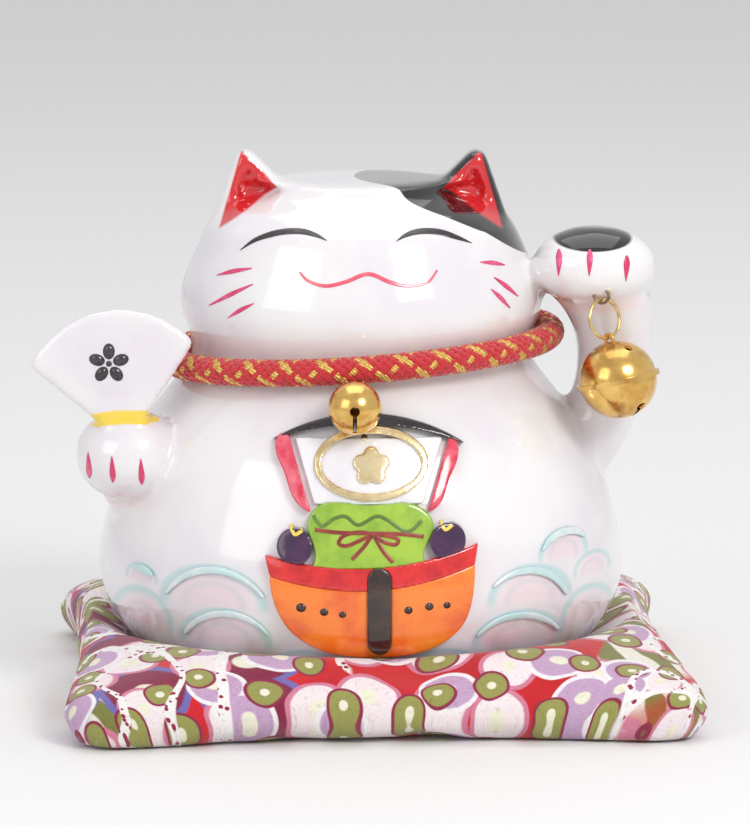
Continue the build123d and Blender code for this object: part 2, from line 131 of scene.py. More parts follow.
class Graph:
    """The node tree of one material, with its Principled shader."""

    def __init__(self, name: str) -> None:
        """Starts an empty material that has one Principled shader."""
        self.material = bpy.data.materials.new(name)
        self.material.use_nodes = True
        self.tree = self.material.node_tree
        self.shader = self.tree.nodes["Principled BSDF"]

    def raw(self, kind: str, settings: dict[str, Any], inputs: dict[Any, Any]) -> bpy.types.Node:
        """Adds a node.

        Args:
            kind: The node's type.
            settings: Its own properties, and "stops" for a ramp.
            inputs: Socket names or numbers, with values or links.

        Returns:
            The node.
        """
        node = self.tree.nodes.new(kind)
        for key, value in settings.items():
            if key == "stops":
                ramp = node.color_ramp
                while len(ramp.elements) < len(value):
                    ramp.elements.new(0.5)
                for element, (place, colour) in zip(ramp.elements, value):
                    element.position = place
                    element.color = (*colour, 1.0)
            else:
                setattr(node, key, value)
        for key, value in inputs.items():
            socket = node.inputs[key]
            if isinstance(value, Val):
                self.tree.links.new(value.socket, socket)
            elif socket.type == "RGBA":
                socket.default_value = (*value[:3], 1.0)
            else:
                socket.default_value = value
        return node

    def node(self, kind: str, settings: dict[str, Any], inputs: dict[Any, Any], out: Any = 0) -> Val:
        """Adds a node as raw does, and returns one of its outputs."""
        return Val(self, self.raw(kind, settings, inputs).outputs[out])

    def math(self, operation: str, *values: Any) -> Val:
        """A Math node over values and numbers."""
        return self.node("ShaderNodeMath", {"operation": operation}, dict(enumerate(values)))

    def mix(self, first: Any, second: Any, share: Any, blend: str = "MIX") -> Val:
        """Mixes two colours by a share of the second."""
        kind = {"data_type": "RGBA", "blend_type": blend}
        return self.node("ShaderNodeMix", kind, {0: share, 6: first, 7: second}, 2)

    def place(self) -> Val:
        """Object coordinates."""
        return self.node("ShaderNodeTexCoord", {}, {}, "Object")

    def axes(self, vector: Val) -> tuple[Val, Val, Val]:
        """A vector's three parts."""
        split = self.raw("ShaderNodeSeparateXYZ", {}, {0: vector})
        return tuple(Val(self, socket) for socket in split.outputs)

    def noise(self, vector: Val, scale: float, detail: float = 2.0, rough: float = 0.5) -> Val:
        """Soft noise from 0 to 1."""
        inputs = {"Vector": vector, "Scale": scale, "Detail": detail, "Roughness": rough}
        return self.node("ShaderNodeTexNoise", {}, inputs)

    def bump(self, height: Any, distance: float, strength: float = 1.0) -> Val:
        """A bump that feeds Normal."""
        return self.node("ShaderNodeBump", {}, {"Height": height, "Distance": distance, "Strength": strength})

    def set(self, **sockets: Any) -> None:
        """Sets the shader's sockets, named with _ for a space."""
        for key, value in sockets.items():
            socket = self.shader.inputs[key.replace("_", " ")]
            if isinstance(value, Val):
                self.tree.links.new(value.socket, socket)
            elif socket.type == "RGBA":
                socket.default_value = (*value, 1.0)
            else:
                socket.default_value = value


@dataclass(frozen=True)
class Finish:
    """A finish that mottles between two colours."""

    name: str
    colour: Colour
    shade: Colour
    roughness: float = 0.12
    spread: float = 0.08
    mottle: float = 220.0
    metallic: float = 0.0
    coat: float = 0.6
    bump: float = 0.00004
    grain: float = 1400.0

    def material(self) -> bpy.types.Material:
        """Builds the material."""
        graph = Graph(self.name)
        place = graph.place()
        cloud = graph.noise(place, self.mottle, 4.0, 0.6)
        fine = graph.noise(place, self.grain, 3.0, 0.6)
        colour = graph.mix(self.colour, self.shade, cloud.step(0.38, 0.68))
        colour = graph.mix(colour, self.shade, fine.step(0.62, 0.8) * 0.35)
        rough = cloud * self.spread + (self.roughness - self.spread / 2) + fine * (self.spread / 2)
        height = cloud * 0.7 + fine * 0.3
        graph.set(Base_Color=colour, Roughness=rough, Metallic=self.metallic, Coat_Weight=self.coat)
        graph.set(Coat_Roughness=0.06, Normal=graph.bump(height, self.bump))
        return graph.material


@dataclass(frozen=True)
class Palette:
    """Every plain finish on the bank."""

    black: Finish = Finish("black_glaze", (0.006, 0.005, 0.006), (0.02, 0.016, 0.02), 0.08)
    orange: Finish = Finish("orange_glaze", (0.90, 0.22, 0.02), (0.72, 0.09, 0.01), mottle=60.0)
    red: Finish = Finish("red_glaze", (0.72, 0.02, 0.02), (0.52, 0.008, 0.012))
    crimson: Finish = Finish("crimson_glaze", (0.62, 0.016, 0.055), (0.80, 0.14, 0.20), mottle=120.0)
    lime: Finish = Finish("lime_glaze", (0.36, 0.55, 0.05), (0.22, 0.40, 0.03), mottle=110.0)
    aubergine: Finish = Finish("aubergine_glaze", (0.035, 0.008, 0.05), (0.07, 0.016, 0.075), 0.08)
    sea: Finish = Finish("sea_glaze", (0.48, 0.68, 0.68), (0.74, 0.76, 0.78), mottle=90.0)
    cream: Finish = Finish("pale_gold_lustre", (0.86, 0.70, 0.42), (0.66, 0.48, 0.22), 0.2, metallic=0.8)
    sail: Finish = Finish("sail_glaze", (0.84, 0.83, 0.84), (0.74, 0.72, 0.78), mottle=60.0)
    brass: Finish = Finish("gilt_brass", (0.86, 0.56, 0.17), (0.62, 0.34, 0.08), 0.16, 0.16, 160.0, 1.0, 0.2)
    wire: Finish = Finish("eye_wire", (0.34, 0.24, 0.13), (0.18, 0.12, 0.07), 0.34, 0.2, 500.0, 1.0, 0.0)
    ring: Finish = Finish("ring_wire", (0.84, 0.64, 0.30), (0.60, 0.42, 0.18), 0.22, 0.14, 400.0, 1.0, 0.0)
    steel: Finish = Finish("pellet_steel", (0.42, 0.42, 0.43), (0.28, 0.27, 0.27), 0.3, 0.2, 400.0, 1.0, 0.0)
    rubber: Finish = Finish("stopper_rubber", (0.7, 0.68, 0.62), (0.6, 0.57, 0.5), 0.55, 0.1, 300.0, coat=0.0)
    ink: Finish = Finish("ink_line", (0.018, 0.014, 0.018), (0.05, 0.04, 0.05), 0.2)
    lip: Finish = Finish("lip_enamel", (0.72, 0.06, 0.13), (0.80, 0.16, 0.20), 0.2)
    whisker: Finish = Finish("whisker_enamel", (0.62, 0.02, 0.12), (0.74, 0.10, 0.24), 0.2)
    rust: Finish = Finish("tie_enamel", (0.22, 0.02, 0.012), (0.34, 0.05, 0.02), 0.2)
    moss: Finish = Finish("moss_enamel", (0.09, 0.17, 0.015), (0.14, 0.25, 0.03), 0.2)
    ochre: Finish = Finish("ochre_enamel", (0.86, 0.60, 0.06), (0.90, 0.72, 0.22), 0.2)
    plank: Finish = Finish("plank_glaze", (0.022, 0.010, 0.008), (0.05, 0.022, 0.014), 0.1)

    def all(self) -> dict[str, bpy.types.Material]:
        """Every finish's material by its field name."""
        return {key: getattr(self, key).material() for key in self.__dataclass_fields__}


# ------------------------------------------------------------------------------------------- mesh helpers
def linked(name: str, mesh: bpy.types.Mesh, material: bpy.types.Material) -> bpy.types.Object:
    """Makes a smooth-shaded object.

    Args:
        name: The piece's name.
        mesh: Its mesh.
        material: Its only material.

    Returns:
        The object, in the scene.
    """
    obj = bpy.data.objects.new(name, mesh)
    bpy.context.scene.collection.objects.link(obj)
    mesh.materials.clear()
    mesh.materials.append(material)
    mesh.shade_smooth()
    return obj


def settled(obj: bpy.types.Object) -> bpy.types.Object:
    """Applies every modifier of an object.

    Args:
        obj: The object.

    Returns:
        The same object, with its final mesh.
    """
    bpy.context.view_layer.update()
    graph = bpy.context.evaluated_depsgraph_get()
    mesh = bpy.data.meshes.new_from_object(obj.evaluated_get(graph))
    obj.modifiers.clear()
    obj.data = mesh
    mesh.shade_smooth()
    return obj


def copies(nodes: Sequence[bpy.types.Object], grow: Sequence[float]) -> bpy.types.Mesh:
    """Copies CAD nodes, closed, into one mesh.

    Args:
        nodes: The nodes' objects.
        grow: How far each one's surface moves out along its normals.

    Returns:
        The new mesh.
    """
    whole = bmesh.new()
    for node, push in zip(nodes, grow):
        part = bmesh.new()
        part.from_mesh(node.data)
        bmesh.ops.remove_doubles(part, verts=part.verts, dist=2e-6)
        part.normal_update()
        moves = [vert.normal * push for vert in part.verts]
        for vert, move in zip(part.verts, moves):
            vert.co += move
        mesh = bpy.data.meshes.new("part")
        part.to_mesh(mesh)
        part.free()
        whole.from_mesh(mesh)
        bpy.data.meshes.remove(mesh)
    mesh = bpy.data.meshes.new("copies")
    whole.to_mesh(mesh)
    whole.free()
    return mesh


def softened(
    name: str, mesh: bpy.types.Mesh, voxel: float, rounds: int, material: bpy.types.Material
) -> bpy.types.Object:
    """Melts a mesh into one skin with rounded edges.

    Args:
        name: The piece's name.
        mesh: Closed shells, which may overlap.
        voxel: The size of the new skin's cells.
        rounds: How many times it is smoothed.
        material: Its material.

    Returns:
        The piece.
    """
    obj = linked(name, mesh, material)
    remesh = obj.modifiers.new("skin", "REMESH")
    remesh.mode = "VOXEL"
    remesh.voxel_size = voxel
    remesh.use_smooth_shade = True
    smooth = obj.modifiers.new("soft", "SMOOTH")
    smooth.factor = 0.5
    smooth.iterations = rounds
    return settled(obj)


def born_from(verts: Any) -> dict[Any, Any]:
    """Maps each old vert to the new one that an extrusion made from it."""
    fresh = set(verts)
    pairs = [(edge.other_vert(vert), vert) for vert in fresh for edge in vert.link_edges]
    return {old: new for old, new in pairs if old not in fresh}


def woven_line(points: Sequence[Sequence[float]], count: int) -> list[list[float]]:
    """A smooth line through points of any number of parts (Catmull-Rom).

    Args:
        points: The points to go through.
        count: Steps between neighbours.

    Returns:
        The stations along the line.
    """
    padded = [points[0], *points, points[-1]]
    line = []
    for index in range(1, len(padded) - 2):
        before, start, end, after = padded[index - 1 : index + 3]
        for step in range(count):
            t = step / count
            row = []
            for p0, p1, p2, p3 in zip(before, start, end, after):
                bend = 2 * p0 - 5 * p1 + 4 * p2 - p3
                turn = 3 * p1 - p0 - 3 * p2 + p3
                row.append(0.5 * (2 * p1 + (p2 - p0) * t + bend * t * t + turn * t**3))
            line.append(row)
    return [*line, list(points[-1])]


@dataclass
class Skin:
    """The ceramic surface that painted strokes lie on."""

    pieces: list[bpy.types.Object] = field(default_factory=list)
    tree: BVHTree | None = None

    def gather(self) -> None:
        """Reads the pieces' meshes once."""
        whole = bmesh.new()
        for piece in self.pieces:
            whole.from_mesh(piece.data)
        self.tree = BVHTree.FromBMesh(whole)
        whole.free()

    def drop(self, x: float, z: float, lift: float) -> Vector | None:
        """Finds a place on the front surface.

        Args:
            x: Across, in millimetres.
            z: Up, in millimetres.
            lift: How far it stands off along the surface's normal, in millimetres.

        Returns:
            The place, or None where there is no surface.
        """
        spot, normal, _, _ = self.tree.ray_cast(Vector((x * MM, FRONT_Y, z * MM)), Vector((0, 1, 0)))
        if spot is None:
            return None
        return spot + normal * lift * MM


@dataclass
class Painter:
    """Lays thin enamel on the ceramic."""

    skin: Skin
    columns: int = 4
    lift: float = 0.05
    thick: float = 0.14

    def finish(self, name: str, bm: bmesh.types.BMesh, material: bpy.types.Material) -> bpy.types.Object:
        """Turns a sheet of enamel into a thin closed piece on the cat.

        Args:
            name: The piece's name.
            bm: The sheet, which is freed.
            material: Its material.

        Returns:
            The piece.
        """
        bmesh.ops.recalc_face_normals(bm, faces=bm.faces)
        mesh = bpy.data.meshes.new(name)
        bm.to_mesh(mesh)
        bm.free()
        obj = linked(name, mesh, material)
        wall = obj.modifiers.new("wall", "SOLIDIFY")
        wall.thickness = self.thick * MM
        wall.offset = 0.0
        settled(obj)
        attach(obj, Body.CAT.value)
        log.info("enamel %s", name)
        return obj

    def line(self, bm: bmesh.types.BMesh, points: Sequence[Sequence[float]], count: int = 6) -> None:
        """Adds one stroke.

        Args:
            bm: The sheet to add it to.
            points: Its x, z and width in millimetres, along its middle.
            count: Steps between neighbouring points.
        """
        stations = woven_line(points, count)
        previous = None
        for index, (x, z, width) in enumerate(stations):
            ahead = stations[min(index + 1, len(stations) - 1)]
            behind = stations[max(index - 1, 0)]
            along = Vector((ahead[0] - behind[0], ahead[1] - behind[1])).normalized()
            row = []
            for column in range(self.columns + 1):
                out = (column / self.columns - 0.5) * max(width, 0.05)
                spot = self.skin.drop(x - along.y * out, z + along.x * out, self.lift)
                if spot is None:
                    break
                row.append(spot)
            if len(row) <= self.columns:
                previous = None
                continue
            if previous is None:
                verts = [bm.verts.new(spot) for spot in row]
                previous = [bm.edges.new(pair) for pair in zip(verts, verts[1:])]
                continue
            made = bmesh.ops.extrude_edge_only(bm, edges=previous)["geom"]
            verts = [item for item in made if isinstance(item, bmesh.types.BMVert)]
            edges = [item for item in made if isinstance(item, bmesh.types.BMEdge)]
            order = self.ordered(previous, verts)
            for vert, spot in zip(order, row):
                vert.co = spot
            previous = [
                next(edge for edge in edges if set(edge.verts) == set(pair)) for pair in zip(order, order[1:])
            ]

    @staticmethod
    def ordered(old: list, verts: list) -> list:
        """Sorts an extruded row.

        Args:
            old: The old row's edges, in order.
            verts: The new row's verts.

        Returns:
            The new verts in the old row's order.
        """
        first = [vert for vert in old[0].verts if len(old) == 1 or vert not in old[1].verts][0]
        row = [first]
        for edge in old:
            row.append(edge.other_vert(row[-1]))
        matches = born_from(verts)
        return [matches[vert] for vert in row]

    def spot(
        self, bm: bmesh.types.BMesh, x: float, z: float, wide: float, high: float, turn: float = 0.0
    ) -> None:
        """Adds one oval of enamel.

        Args:
            bm: The sheet to add it to.
            x: Its middle, across, in millimetres.
            z: Its middle, up, in millimetres.
            wide: Half its width in millimetres.
            high: Half its height in millimetres.
            turn: Its turn in radians.
        """
        disc = bmesh.ops.create_circle(bm, cap_ends=True, cap_tris=True, segments=20, radius=1.0)
        made = disc["verts"]
        for vert in made:
            u = vert.co.x * wide
            v = vert.co.y * high
            across = x + u * math.cos(turn) - v * math.sin(turn)
            rise = z + u * math.sin(turn) + v * math.cos(turn)
            place = self.skin.drop(across, rise, self.lift)
            vert.co = place if place is not None else Vector((x * MM, 0.0, z * MM))

    def strokes(
        self, name: str, material: bpy.types.Material, lines: Sequence[Sequence[Sequence[float]]]
    ) -> bpy.types.Object:
        """Makes one piece of several strokes.

        Args:
            name: The piece's name.
            material: Its material.
            lines: The strokes, as line takes them.

        Returns:
            The piece.
        """
        bm = bmesh.new()
        for points in lines:
            self.line(bm, points)
        return self.finish(name, bm, material)

    def spots(
        self, name: str, material: bpy.types.Material, ovals: Sequence[Sequence[float]]
    ) -> bpy.types.Object:
        """Makes one piece of several ovals.

        Args:
            name: The piece's name.
            material: Its material.
            ovals: The ovals, as spot takes them.

        Returns:
            The piece.
        """
        bm = bmesh.new()
        for oval in ovals:
            self.spot(bm, *oval)
        return self.finish(name, bm, material)


# ------------------------------------------------------------------------------------------------ ceramic
@dataclass
class Ceramic:
    """The fused white casting, with its glaze patches and painted paw shade in Object coordinates (metres).
    """

    nodes: tuple[str, ...] = ("cat_body", "ear_left", "ear_right", "raised_arm", "fan_arm", "fan", "tail")
    grow: tuple[float, ...] = (0.0, 0.0002, 0.0002, 0.0003, 0.0003, 0.0002, 0.0003)
    easing: int = 60
    voxel: float = 0.00136
    rounds: int = 6
    sea: Colour = (0.36, 0.62, 0.62)
    pink: Colour = (0.82, 0.52, 0.58)
    scallops: tuple[tuple[float, float, float, float], ...] = (
        (-58.0, 24.0, 8.5, 10.0),
        (-38.5, 33.0, 14.0, 9.8),
        (-58.0, 36.5, 4.4, 4.0),
        (-35.5, 22.5, 12.0, 9.2),
        (-14.5, 14.5, 9.5, 7.0),
        (53.5, 43.8, 6.6, 6.6),
        (61.5, 37.5, 5.2, 5.2),
        (44.5, 33.5, 11.0, 8.8),
        (60.5, 25.0, 7.5, 9.0),
        (41.5, 22.0, 12.0, 8.6),
        (22.0, 14.5, 9.5, 7.0),
    )

    @staticmethod
    def oval(axes: Sequence[Val], centre: Sequence[float], half: Sequence[float], soft: float) -> Val:
        """Masks an ellipsoid.

        Args:
            axes: The place's three parts.
            centre: The ellipsoid's middle in millimetres.
            half: Its half sizes in millimetres; 0 ignores that axis.
            soft: How far its edge fades, as a share of its half sizes.

        Returns:
            The mask, 1 inside.
        """
        total: Any = 0.0
        for axis, middle, size in zip(axes, centre, half):
            if size:
                part = (axis - middle * MM) / (size * MM)
                total = part * part + total
        return total.math("SQRT").step(1.0 + soft, 1.0 - soft)

    def glaze(self) -> bpy.types.Material:
        """The white glaze with the black patches, the ears' red, the sea's lines and pink, a blue-grey band
        low on the front, and painted shade under both paws.
        """
        graph = Graph("white_glaze")
        place = graph.place()
        axes = graph.axes(place)
        x, y, z = axes
        cloud = graph.noise(place, 28.0, 3.0)
        fine = graph.noise(place, 900.0, 3.0)
        colour = graph.mix((0.80, 0.785, 0.79), (0.72, 0.68, 0.73), cloud.step(0.40, 0.72))
        colour = graph.mix(colour, (0.72, 0.69, 0.66), fine.step(0.70, 0.84) * 0.25)
        # Painted shade: a warm peach colour laid on the body just under the raised paw and under the fan paw.
        paw_shade_colour = (0.86, 0.52, 0.50)
        for x_mm, z_mm, wide, high in self.scallops:
            across = (x - x_mm * MM) / (wide * MM)
            rise = (z - z_mm * MM) / (high * MM)
            reach = (across * across + rise * rise).math("SQRT")
            front = y.step(0.0, -0.008) * rise.step(-0.35, 0.1)
            crest = reach.step(1.10, 0.98) * reach.step(0.74, 0.95)
            ripple = reach.step(0.66, 0.58) * reach.step(0.40, 0.54)
            colour = graph.mix(colour, self.sea, crest * front * 0.62)
            colour = graph.mix(colour, self.sea, ripple * front * 0.35)
            colour = graph.mix(colour, self.pink, reach.step(0.92, 0.60) * front * 0.34)
        # A blue-grey band low on the front, then painted shade under the raised paw and under the fan paw.
        low_band_and_paw_shade = [
            ((3.0, -60.0, 18.5), (34.0, 0.0, 3.0), (0.48, 0.55, 0.60), 0.4),
            ((62.0, -16.0, 107.0), (14.0, 14.0, 3.0), paw_shade_colour, 0.35),
            ((-62.0, -24.0, 56.5), (12.0, 12.0, 3.5), paw_shade_colour, 0.25),
        ]
        for centre, half, tint, strength in low_band_and_paw_shade:
            mask = self.oval(axes, centre, half, 0.42) * strength * y.step(0.0, -0.008)
            colour = graph.mix(colour, tint, mask)
        wobble = (cloud - 0.5) * 0.05
        head = self.oval(axes, (24.0, 3.0, 133.0), (26.5, 27.0, 24.5), 0.016)
        head = (head + wobble).step(0.45, 0.55)
        paw = self.oval(axes, (61.6, 0.0, 124.4), (10.4, 0.0, 2.7), 0.07) * y.step(-0.004, -0.006)
        black = head.math("MAXIMUM", paw)
        colour = graph.mix(colour, (0.007, 0.006, 0.008), black)
        colour = graph.mix(colour, (0.62, 0.012, 0.016), self.ears(x, y, z))
        band = self.fan_band(graph, x, y, z)
        colour = graph.mix(colour, (0.86, 0.62, 0.06), band)
        rough = black * -0.03 + (cloud * 0.05 + 0.07) + fine * 0.03
        height = cloud * 0.8 + fine * 0.06
        graph.set(Base_Color=colour, Roughness=rough, Coat_Weight=0.7, Coat_Roughness=0.05, IOR=1.5)
        graph.set(Subsurface_Weight=0.06, Subsurface_Scale=0.004)
        graph.set(Normal=graph.bump(height, 0.00035, 0.5))
        return graph.material

    @staticmethod
    def ears(x: Val, y: Val, z: Val) -> Val:
        """A mask of both ears' recessed triangles."""
        side = abs(x)
        outer = (side * 0.960 + z * 0.279).step(0.0719, 0.0712)
        lower = (side * 0.562 + z * 0.827).step(0.1256, 0.1263)
        inner = (side * -0.692 + z * 0.722).step(0.0841, 0.0834)
        deep = y.step(-0.0005, -0.0020)
        return outer * lower * inner * deep

    @staticmethod
    def fan_band(graph: Graph, x: Val, y: Val, z: Val) -> Val:
        """A mask of the brushed yellow band across the fan, just above the paw."""
        along = x * 0.14
        wave = (x * 260.0).math("SINE") * 0.0007
        level = z - along - wave
        brushed = graph.noise(graph.node("ShaderNodeCombineXYZ", {}, {0: x * 0.3, 1: y, 2: z}), 900.0, 2.0)
        edge = (brushed - 0.5) * 0.0016
        rise = (level + edge).step(0.0852, 0.0858) * (level + edge).step(0.0898, 0.0888)
        return rise * y.step(-0.026, -0.027) * x.step(-0.046, -0.047)

    def ease_crown(self, mesh: bpy.types.Mesh) -> None:
        """Smooths the crown between the ears, as the glaze does."""
        bm = bmesh.new()
        bm.from_mesh(mesh)
        crown = [
            vert
            for vert in bm.verts
            if vert.co.z > 0.127 and not (abs(vert.co.x) > 0.0155 and -0.0100 < vert.co.y < 0.0070)
        ]
        for _ in range(self.easing):
            bmesh.ops.smooth_vert(
                bm, verts=crown, factor=0.5, use_axis_x=True, use_axis_y=True, use_axis_z=True
            )
        bm.to_mesh(mesh)
        bm.free()
        mesh.shade_smooth()

    def build(self, nodes: dict[str, bpy.types.Object]) -> bpy.types.Object:
        """Makes the casting and puts it on the cat.

        Args:
            nodes: The frame's nodes.

        Returns:
            The casting.
        """
        mesh = copies([nodes[name] for name in self.nodes], self.grow)
        piece = softened("casting", mesh, self.voxel, self.rounds, self.glaze())
        self.ease_crown(piece.data)
        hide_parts(*self.nodes)
        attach(piece, Body.CAT.value)
        log.info("casting with %d faces", len(piece.data.polygons))
        return piece


@dataclass
class Relief:
    """The sprigged treasure ship, melted a little as thick glaze rounds it."""

    finishes: dict[str, tuple[str, str]] = field(
        default_factory=lambda: {
            "wave_relief": ("sea", "sea_glaze"),
            "sail": ("sail", "white_glaze"),
            "sail_yard": ("black", "black_glaze"),
            "sail_ribbon_left": ("crimson", "crimson_glaze"),
            "sail_ribbon_right": ("crimson", "crimson_glaze"),
            "sail_ring": ("cream", "pale_gold_lustre"),
            "sail_emblem": ("cream", "pale_gold_lustre"),
            "treasure_sack": ("lime", "lime_glaze"),
            "eggplant_left": ("aubergine", "aubergine_glaze"),
            "eggplant_right": ("aubergine", "aubergine_glaze"),
            "ship_rail": ("red", "red_glaze"),
            "ship_hull": ("orange", "orange_glaze"),
            "ship_plank": ("plank", "black_glaze"),
        }
    )
    voxel: float = 0.00034
    grow: float = 0.00012
    rounds: int = 5
    wave_rounds: int = 24

    def build(
        self, nodes: dict[str, bpy.types.Object], looks: dict[str, bpy.types.Material]
    ) -> list[bpy.types.Object]:
        """Makes each sprig from its node.

        Args:
            nodes: The frame's nodes.
            looks: The finishes' materials.

        Returns:
            The sprigs.
        """
        made = []
        for node, (look, slot) in self.finishes.items():
            rounds = self.wave_rounds if node == "wave_relief" else self.rounds
            mesh = copies([nodes[node]], [self.grow])
            piece = softened(f"{node}_sprig", mesh, self.voxel, rounds, looks[look])
            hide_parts(node)
            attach(piece, Body.CAT.value)
            made.append(piece)
            log.info("sprig %s with %d faces", node, len(piece.data.polygons))
        return made


def tapered(points: Sequence[Point], widest: float, ends: float = 0.1) -> list[tuple[float, float, float]]:
    """Gives a stroke its widths.

    Args:
        points: Its points, in millimetres.
        widest: Its width in the middle.
        ends: Its width at both ends.

    Returns:
        Each point with its width.
    """
    last = len(points) - 1
    swell = [math.sin(math.pi * index / last) ** 0.7 for index in range(last + 1)]
    return [(x, z, ends + (widest - ends) * share) for (x, z), share in zip(points, swell)]


@dataclass
class Enamel:
    """The painted face, claws and ship details, in millimetres on the front."""

    left_eye: tuple[Point, ...] = (
        (-31.8, 122.5),
        (-27.5, 125.6),
        (-21.5, 127.7),
        (-15.9, 128.3),
        (-11.8, 127.6),
        (-8.8, 126.4),
    )
    right_eye: tuple[Point, ...] = (
        (9.3, 126.2),
        (12.0, 127.6),
        (15.6, 128.3),
        (20.6, 127.9),
        (25.6, 126.2),
        (29.4, 124.5),
    )
    mouth: tuple[Point, ...] = (
        (-15.9, 118.3),
        (-13.6, 116.2),
        (-9.0, 115.1),
        (-3.6, 116.3),
        (2.0, 118.2),
        (7.4, 116.2),
        (12.0, 115.0),
        (17.4, 115.6),
        (20.1, 118.6),
    )

    def whiskers(self) -> list[list[tuple[float, float, float]]]:
        """Six whiskers, fine at their outer ends."""
        ends = [
            ((-38.0, 115.5), (-28.6, 118.4)),
            ((-40.1, 107.6), (-28.3, 114.5)),
            ((-35.0, 105.1), (-28.0, 109.7)),
            ((38.2, 117.9), (31.5, 119.6)),
            ((41.7, 109.6), (35.2, 115.4)),
            ((39.5, 107.0), (34.4, 112.6)),
        ]
        made = []
        for (x0, z0), (x1, z1) in ends:
            middle = ((x0 + x1) / 2, (z0 + z1) / 2 + 0.25)
            made.append(tapered(((x0, z0), middle, (x1, z1)), 1.05, 0.25))
        return made

    def claws(self) -> list[list[tuple[float, float, float]]]:
        """Three teardrops on each paw: the fan paw's point up, the raised paw's point down."""
        left = [(-72.0, 69.6), (-65.6, 69.2), (-58.0, 68.6)]
        right = [(52.4, 115.2), (60.4, 115.5), (70.2, 113.8)]
        made = []
        for tips, lengths in ((left, (-2.4, -5.2, -7.2)), (right, (2.4, 5.0, 6.8))):
            for x, z in tips:
                near, wide, end = (z + length for length in lengths)
                made.append([(x, z, 0.2), (x + 0.1, near, 1.1), (x + 0.2, wide, 1.6), (x + 0.2, end, 0.5)])
        return made

    @staticmethod
    def blossom(x: float, z: float, orbit: float, petal: float) -> list[tuple[float, ...]]:
        """Lays out five petals round a spot.

        Args:
            x: The middle, across, in millimetres.
            z: The middle, up, in millimetres.
            orbit: How far the petals' middles lie from it.
            petal: A petal's size.

        Returns:
            The ovals, as Painter.spot takes them.
        """
        made = []
        for index in range(5):
            angle = math.radians(90 + 72 * index)
            spot = (x + orbit * math.cos(angle), z + orbit * math.sin(angle))
            made.append((*spot, petal * 1.12, petal * 0.82, angle))
        return [*made, (x, z, petal * 0.42, petal * 0.42, 0.0)]

    def build(self, painter: Painter, looks: dict[str, bpy.types.Material]) -> None:
        """Lays every stroke.

        Args:
            painter: Lays them.
            looks: The finishes' materials.
        """
        jobs: list[tuple[str, str, list]] = [
            ("eye_lines", "ink", [tapered(self.left_eye, 1.35), tapered(self.right_eye, 1.35)]),
            ("mouth_line", "lip", [tapered(self.mouth, 1.0, 0.45)]),
            ("whiskers", "whisker", self.whiskers()),
            ("claws", "whisker", self.claws()),
            ("sack_wave", "moss", [self.even(self.wave(), 0.9)]),
            ("sack_tie", "rust", self.bow()),
            ("eggplant_stalks", "ochre", self.stalks()),
        ]
        for name, look, lines in jobs:
            painter.strokes(name, looks[look], lines)
        dots = [(-15.4, 34.1, 1.3), (-9.4, 33.1, 1.1), (-4.6, 32.5, 0.95)]
        dots += [(12.5, 33.5, 1.1), (17.9, 34.3, 1.1), (22.5, 34.4, 0.95)]
        painter.spots("hull_dots", looks["plank"], [(x, z, r, r * 0.9) for x, z, r in dots])
        painter.spots("fan_blossom", looks["ink"], self.blossom(-66.3, 93.4, 3.3, 1.9))
        painter.spots("gold_dot", looks["cream"], [(1.0, 76.6, 0.9, 0.7)])

    @staticmethod
    def even(points: Sequence[Point], width: float) -> list[tuple[float, float, float]]:
        """A stroke of one width."""
        return [(x, z, width) for x, z in points]

    @staticmethod
    def wave() -> list[Point]:
        """The wavy line over the sack."""
        first = [(-12.2, 57.8), (-11.1, 56.1), (-9.6, 55.2), (-6.7, 57.1), (-3.8, 57.6), (-0.5, 55.5)]
        return [*first, (3.9, 57.6), (6.7, 56.9), (11.1, 54.0), (13.5, 54.1), (15.9, 56.4)]

    def bow(self) -> list[list[tuple[float, float, float]]]:
        """The sack's tie, its two loops and its two tails."""
        tie = [(-11.8, 54.2), (-5.8, 53.6), (3.4, 53.4), (10.6, 53.1), (16.4, 52.3)]
        left = [(3.4, 53.2), (-0.5, 53.7), (-4.3, 52.8), (-5.6, 50.9), (-3.4, 50.3), (1.2, 52.2), (3.2, 52.9)]
        right = [(3.4, 53.2), (7.4, 52.6), (9.8, 51.8), (9.1, 50.5), (6.3, 51.1), (3.8, 52.8)]
        tails = [[(2.9, 52.7), (0.8, 49.9), (-2.2, 46.8)], [(3.6, 52.7), (5.8, 49.0), (8.4, 46.0)]]
        return [self.even(points, 1.0) for points in (tie, left, right, *tails)]

    def stalks(self) -> list[list[tuple[float, float, float]]]:
        """The eggplants' pale V-shaped stalks."""
        left = [(-18.1, 55.0), (-17.0, 53.0), (-15.0, 54.2)]
        right = [(20.9, 56.0), (22.1, 54.0), (23.9, 55.1)]
        return [self.even(points, 0.9) for points in (left, right)]


